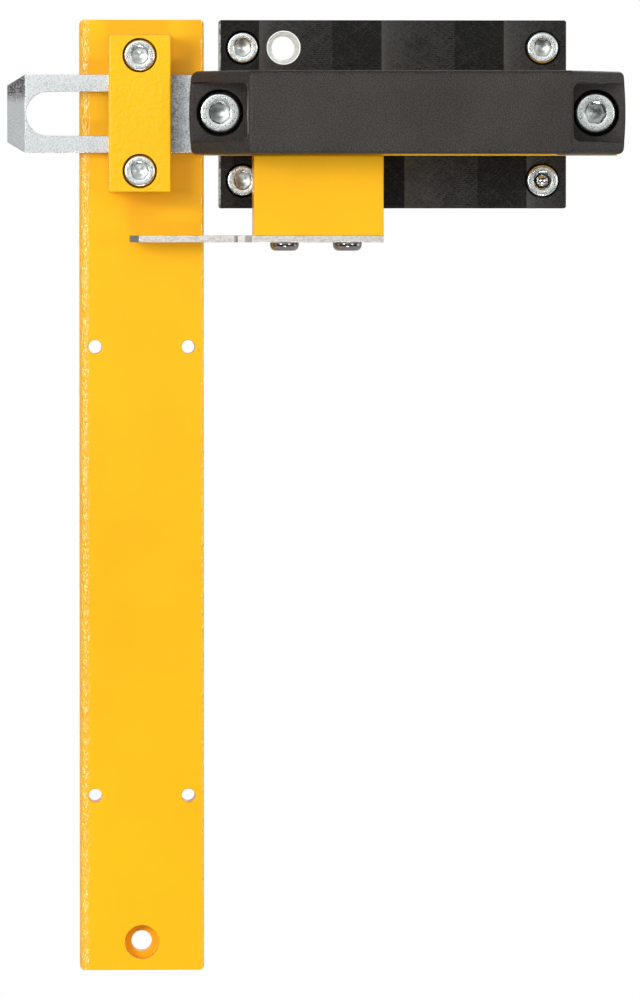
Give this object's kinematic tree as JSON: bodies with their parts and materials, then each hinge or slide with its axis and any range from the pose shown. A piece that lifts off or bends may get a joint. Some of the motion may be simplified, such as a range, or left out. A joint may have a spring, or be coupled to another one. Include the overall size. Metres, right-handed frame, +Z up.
{
  "type": "sliding guard door bolt",
  "caption": "Sliding bolt for a machine guard door: post bar with guide block, door plate with sliding carriage, bow handle, slotted bolt and safety switch actuator.",
  "frame": {"origin": "middle of the post bar's back face, at the height of the bolt's axis; both halves are screwed to the plane y = 0", "axes": "+X along the bolt, from the post to the door, the way the bolt is drawn; +Z up along the post; the front faces -Y"},
  "size_m": [0.1973, 0.0712, 0.3063],
  "materials": {
    "yellow_powder_coat": "satin powder coat with a faint orange peel",
    "zinc_plate": "bright zinc, finely speckled",
    "zinc_screws": "bright zinc on cold headed steel",
    "black_handle": "fine grained matt black coat",
    "black_anodised": "black anodised over face-milled bands",
    "polished_steel": "polished bearing steel",
    "stainless_sheet": "brushed sheet with sheared edges",
    "stainless_screws": "plain stainless steel"
  },
  "bodies": {
    "post_side": {"post_bar": "yellow_powder_coat", "guide_block": "yellow_powder_coat", "guide_block_screws": "zinc_screws"},
    "door_side": {"door_plate": "black_anodised", "door_plate_screws_left": "zinc_screws", "door_plate_screws_right": "zinc_screws", "security_ball": "polished_steel", "padlock_bush": "zinc_plate", "stop_pin": "polished_steel"},
    "bolt_slide": {"carriage": "yellow_powder_coat", "slide_runner": "zinc_plate", "runner_screws": "zinc_screws", "bolt_tongue": "zinc_plate", "bolt_fixing_screw": "zinc_screws", "handle": "black_handle", "handle_screw_left": "zinc_screws", "handle_screw_right": "zinc_screws", "actuator": "stainless_sheet", "actuator_screws": "stainless_screws", "detent_sleeve": "zinc_screws", "detent_spring": "polished_steel"},
    "catch_ball": {"detent_ball": "polished_steel"}
  },
  "joints": [
    {"name": "door_draw", "type": "slide", "parent": "post_side", "child": "door_side", "axis": [1, 0, 0], "range_m": [0, 0.08]},
    {"name": "bolt_travel", "type": "slide", "parent": "door_side", "child": "bolt_slide", "axis": [1, 0, 0], "range_m": [0, 0.055]},
    {"name": "catch_press", "type": "slide", "parent": "bolt_slide", "child": "catch_ball", "axis": [0, -1, 0], "range_m": [0, 0.0006], "stiffness_N_per_m": 600, "deforming": ["detent_spring"]}
  ]
}
